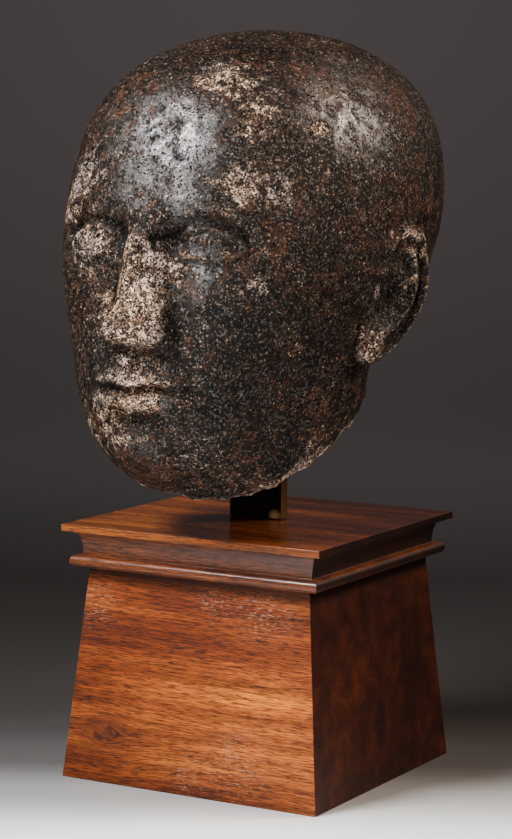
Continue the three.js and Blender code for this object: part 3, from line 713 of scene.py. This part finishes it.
def granite():
    """Dark granite: black, brown and cream crystals, polished dark or bruised pale, stained with rust;
    painted shade darkens the carved hollows and the places where the light falls off.
    """
    made, tree, shader = material("dark_granite")
    link = tree.links.new
    coords = place_on(tree, (1000, 1000, 1000))
    wobble = add_node(tree, "ShaderNodeTexNoise", Vector=coords, Scale=1.1, Detail=1.0).outputs["Color"]
    wobble = vector_math(tree, "SCALE", vector_math(tree, "SUBTRACT", wobble, (0.5, 0.5, 0.5)), Scale=0.8)
    bent = vector_math(tree, "ADD", coords, wobble)
    crystals = add_node(tree, "ShaderNodeTexVoronoi", Vector=bent, Scale=1.45)
    large = add_node(tree, "ShaderNodeTexVoronoi", Vector=bent, Scale=0.55)
    pick = add_node(tree, "ShaderNodeSeparateColor", Color=crystals.outputs["Color"])
    pick_large = add_node(tree, "ShaderNodeSeparateColor", Color=large.outputs["Color"])

    def trait(name):
        return add_node(tree, "ShaderNodeAttribute", {"attribute_name": name}).outputs["Fac"]

    def clouds(shift, scale, detail, roughness):
        return noise(tree, place_on(tree, (1000, 1000, 1000), shift=shift), scale, detail, roughness)

    # ragged masks: a spot's strength only shifts the balance of a crumbly pattern
    crumbs = clouds((0, 0, 0), 0.17, 6.0, 0.72)
    worn = sums(tree, "ADD", crumbs,
        sums(tree, "ADD", sums(tree, "MULTIPLY", trait("bruised"), 0.24),
            sums(tree, "MULTIPLY", trait("ridge"), 0.13)))
    # painted shade also holds back the pale flecks
    worn = ramp(tree, sums(tree, "SUBTRACT", worn, sums(tree, "MULTIPLY", trait("painted_shade_spots"), 0.07)),
        [(0.62, 0.0), (0.69, 1.0)])
    flecks = ramp(tree, clouds((5, 5, 5), 0.55, 3.0, 0.6), [(0.665, 0.0), (0.71, 0.8)])
    worn = sums(tree, "MAXIMUM", worn, flecks)
    stain = ramp(tree, sums(tree, "ADD", clouds((31, 7, 3), 0.14, 5.0, 0.62),
        sums(tree, "MULTIPLY", trait("rust"), 0.12)), [(0.565, 0.0), (0.69, 1.0)])
    pits = ramp(tree, clouds((3, 57, 13), 0.62, 3.0, 0.7), [(0.33, 1.0), (0.39, 0.0)])
    polish = sums(tree, "MAXIMUM", trait("polish"), sums(tree, "MULTIPLY", trait("ridge"), 0.8))
    polish = sums(tree, "MULTIPLY", polish, sums(tree, "SUBTRACT", 1.0, worn))
    polish = sums(tree, "MULTIPLY", polish,
        ramp(tree, clouds((4, 4, 1), 0.13, 4.0, 0.6), [(0.38, 0.1), (0.56, 1.0)]))

    skin = ramp(tree, pick.outputs[0],
        [(0.0, (0.0040, 0.0029, 0.0023)), (0.44, (0.012, 0.0080, 0.0058)), (0.72, (0.030, 0.018, 0.012)),
            (0.90, (0.065, 0.041, 0.027)), (0.975, (0.24, 0.18, 0.13))], "CONSTANT")
    raw = ramp(tree, pick.outputs[1],
        [(0.0, (0.006, 0.005, 0.004)), (0.22, (0.060, 0.040, 0.028)), (0.40, (0.23, 0.155, 0.110)),
            (0.62, (0.42, 0.315, 0.235)), (0.84, (0.76, 0.63, 0.51))], "CONSTANT")
    fresh = sums(tree, "ADD", sums(tree, "MULTIPLY", trait("bruised"), 0.85), 0.44)
    raw = vector_math(tree, "SCALE", raw, Scale=fresh)
    # painted shade: the colour is darkened over the shade spots and a cloudy pattern, and the gloss is
    # dulled there
    shade_mask = ramp(tree, sums(tree, "ADD", clouds((8, 3, 8), 0.09, 5.0, 0.65),
        sums(tree, "MULTIPLY", trait("painted_shade_spots"), 0.22)), [(0.50, 0.0), (0.68, 1.0)])
    colour = mix(tree, "MIX", worn, skin, raw)
    colour = mix(tree, "MULTIPLY", shade_mask, colour, (0.42, 0.40, 0.40, 1))
    colour = mix(tree, "MULTIPLY", 1.0, colour,
        ramp(tree, pick_large.outputs[0], [(0.0, 0.50), (0.35, 0.9), (0.75, 1.3)], "CONSTANT"))
    rusty = ramp(tree, pick.outputs[2],
        [(0.0, (0.022, 0.010, 0.006)), (0.40, (0.050, 0.021, 0.012)), (0.74, (0.100, 0.043, 0.025)),
            (0.94, (0.24, 0.15, 0.095))], "CONSTANT")
    colour = mix(tree, "MIX", sums(tree, "MULTIPLY", stain, 0.68), colour, rusty)
    tint = ramp(tree, clouds((9, 2, 4), 0.035, 3.0, 0.5),
        [(0.38, (0.80, 0.82, 0.90)), (0.60, (1.15, 1.0, 0.86))])
    colour = mix(tree, "MULTIPLY", 0.8, colour, tint)
    colour = mix(tree, "MULTIPLY", sums(tree, "MULTIPLY", pits, 0.85), colour, (0.15, 0.12, 0.10, 1))
    # painted shade in the carved hollows and the ears' deep parts
    colour = mix(tree, "MULTIPLY", sums(tree, "MULTIPLY", trait("hollow"), 0.85), colour,
        (0.22, 0.18, 0.15, 1))
    link(colour, shader.inputs["Base Color"])

    # the polish survives in places, dulled by scuffs, pits and single matt crystals
    scuffs = clouds((1, 8, 6), 0.30, 5.0, 0.65)
    matt = ramp(tree, pick.outputs[1], [(0.0, 1.0), (0.16, 0.0)], "CONSTANT")
    matt = sums(tree, "MAXIMUM", sums(tree, "MAXIMUM", worn, matt),
        sums(tree, "MAXIMUM", pits, sums(tree, "MULTIPLY", stain, 0.7)))
    sheen = mix(tree, "MIX", polish, ramp(tree, scuffs, [(0.35, 0.40), (0.65, 0.56)]),
        ramp(tree, scuffs, [(0.35, 0.24), (0.65, 0.35)]))
    link(mix(tree, "MIX", matt, sheen, (0.78, 0.78, 0.78, 1)), shader.inputs["Roughness"])
    bright = ramp(tree, pick.outputs[2], [(0.0, 0.0), (0.84, 1.0)], "CONSTANT")
    dull = sums(tree, "SUBTRACT", 1.0, sums(tree, "MULTIPLY", shade_mask, 0.45))
    gloss = sums(tree, "MAXIMUM", sums(tree, "MULTIPLY", polish, dull),
        sums(tree, "ADD", sums(tree, "MULTIPLY", bright, 0.6), 0.10))
    link(mix(tree, "MIX", matt, gloss, (0.08, 0.08, 0.08, 1)), shader.inputs["Specular IOR Level"])
    # crystal facets, crumbled hollows and pits; polishing has levelled the crystals
    unpolished = sums(tree, "SUBTRACT", 1.0, sums(tree, "MULTIPLY", polish, 0.8))
    facets = sums(tree, "MULTIPLY",
        sums(tree, "SUBTRACT", sums(tree, "MULTIPLY", pick.outputs[2], 0.35),
            crystals.outputs["Distance"]), 0.15)
    rugged = sums(tree, "MULTIPLY", clouds((2, 2, 8), 0.8, 4.0, 0.75),
        sums(tree, "ADD", sums(tree, "MULTIPLY", worn, 1.1), 0.30))
    height = sums(tree, "MULTIPLY", sums(tree, "ADD", facets, rugged), unpolished)
    height = sums(tree, "SUBTRACT", height, sums(tree, "MULTIPLY", pits, 0.35))
    height = sums(tree, "ADD", height, sums(tree, "MULTIPLY", clouds((6, 1, 1), 0.22, 2.0, 0.6), 0.35))
    glint = vector_math(tree, "SCALE",
        vector_math(tree, "SUBTRACT", crystals.outputs["Color"], (0.5, 0.5, 0.5)),
            Scale=sums(tree, "MULTIPLY", unpolished, 0.24))
    tilted = vector_math(tree, "NORMALIZE",
        vector_math(tree, "ADD", add_node(tree, "ShaderNodeNewGeometry").outputs["Normal"], glint))
    bump = add_node(tree, "ShaderNodeBump", Height=height, Strength=1.0, Distance=0.0010, Normal=tilted)
    link(bump.outputs[0], shader.inputs["Normal"])
    return made


finished("granite_head", granite(), "stone_head")


# Ground and light: a sheet laid flat and swept up behind, its colour graded as painted light from white in
# front to charcoal behind; one soft box high on the left, a gridded strip behind on the right, a weak low
# fill and a pool of light in front.
def painted_light_paper(name):
    """Painted light: white where the light falls in front of the object, charcoal behind it, a little
    lighter again high on the sweep.
    """
    made, tree, shader = material(name)
    coords = add_node(tree, "ShaderNodeTexCoord").outputs["Object"]
    part = add_node(tree, "ShaderNodeSeparateXYZ", Vector=coords)
    away = sums(tree, "ADD", sums(tree, "MULTIPLY", part.outputs["Y"], math.cos(azimuth)),
        sums(tree, "MULTIPLY", part.outputs["X"], -math.sin(azimuth)))
    share = sums(tree, "ADD", sums(tree, "MULTIPLY", away, 0.25), 0.25)
    tone = ramp(tree, share,
        [(0.218, (0.92, 0.92, 0.90)), (0.235, (0.34, 0.335, 0.33)), (0.251, (0.082, 0.077, 0.076)),
            (0.279, (0.0135, 0.0112, 0.0108)), (0.33, (0.0098, 0.0078, 0.0075)),
                (0.41, (0.020, 0.0155, 0.0145)), (0.60, (0.0205, 0.0156, 0.0152)),
                    (0.85, (0.046, 0.0335, 0.035))], "EASE")
    tree.links.new(tone, shader.inputs["Base Color"])
    shader.inputs["Roughness"].default_value = 0.8
    return made


paper = painted_light_paper("painted_light_paper")
floor = start(bpy.ops.mesh.primitive_plane_add, size=6)
floor.name = "floor"
floor.data.materials.append(paper)
sweep = start(bpy.ops.mesh.primitive_plane_add, size=8, location=(0, 2.5, -0.001))
bpy.ops.object.transform_apply()
sweep.name = "backdrop"
bpy.ops.object.mode_set(mode="EDIT")
bpy.ops.mesh.select_all(action="SELECT")
bpy.ops.mesh.subdivide(number_cuts=63)
bpy.ops.object.mode_set(mode="OBJECT")
flat = points_of(sweep)
behind = np.clip(flat[:, 1] - 1.3, 0, None)
bend = np.minimum(behind / 1.2, math.pi / 2)
flat[:, 1] = np.minimum(flat[:, 1], 1.3) + 1.2 * np.sin(bend)
flat[:, 2] += 1.2 * (1 - np.cos(bend)) + np.clip(behind - 1.2 * math.pi / 2, 0, None)
move_points(sweep, flat)
sweep.data.transform(Matrix.Rotation(azimuth, 4, "Z"))
bpy.ops.object.shade_smooth()
sweep.data.materials.append(paper)

world = bpy.data.worlds.new("studio")
bpy.context.scene.world = world
world.use_nodes = True
world.node_tree.nodes["Background"].inputs[0].default_value = (0.030, 0.027, 0.027, 1)


def lamp(name, at, aim, size, watts, spread, colour=(1, 1, 1), along=(0, 0, 1)):
    """A rectangular soft light; its second size runs along the given direction, and a grid narrows it."""
    data = bpy.data.lights.new(name, "AREA")
    data.shape = "RECTANGLE"
    data.size, data.size_y = size
    data.energy = watts
    data.color = colour
    data.spread = math.radians(spread)
    away = (Vector(at) - Vector(aim)).normalized()
    long_side = (Vector(along) - away * away.dot(Vector(along))).normalized()
    made = bpy.data.objects.new(name, data)
    turned = Matrix((long_side.cross(away), long_side, away)).transposed().to_4x4()
    made.matrix_world = Matrix.Translation(Vector(at)) @ turned
    bpy.context.collection.objects.link(made)


lamp("soft_box", (-0.43, -0.80, 1.12), (0, -0.06, 0.22), (0.48, 0.30), 5.1, 60, (1, 0.985, 0.97))
lamp("strip", (0.80, 0.56, 1.02), (0.05, -0.04, 0.33), (0.20, 0.7), 2.8, 55, (1, 0.82, 0.68),
    (0.08, 0.74, -0.66))
lamp("face_light", (0.0, -1.45, 0.33), (0.01, -0.1, 0.28), (0.3, 0.2), 0.25, 18)
lamp("pool", (0.20, -0.42, 1.2), (0.20, -0.42, 0), (0.2, 0.2), 3, 30, (1, 1, 1), (0, 1, 0))
lamp("background", (-0.40, 0.70, 1.1), (-1.48, 2.6, 0.5), (0.8, 0.5), 30, 180)
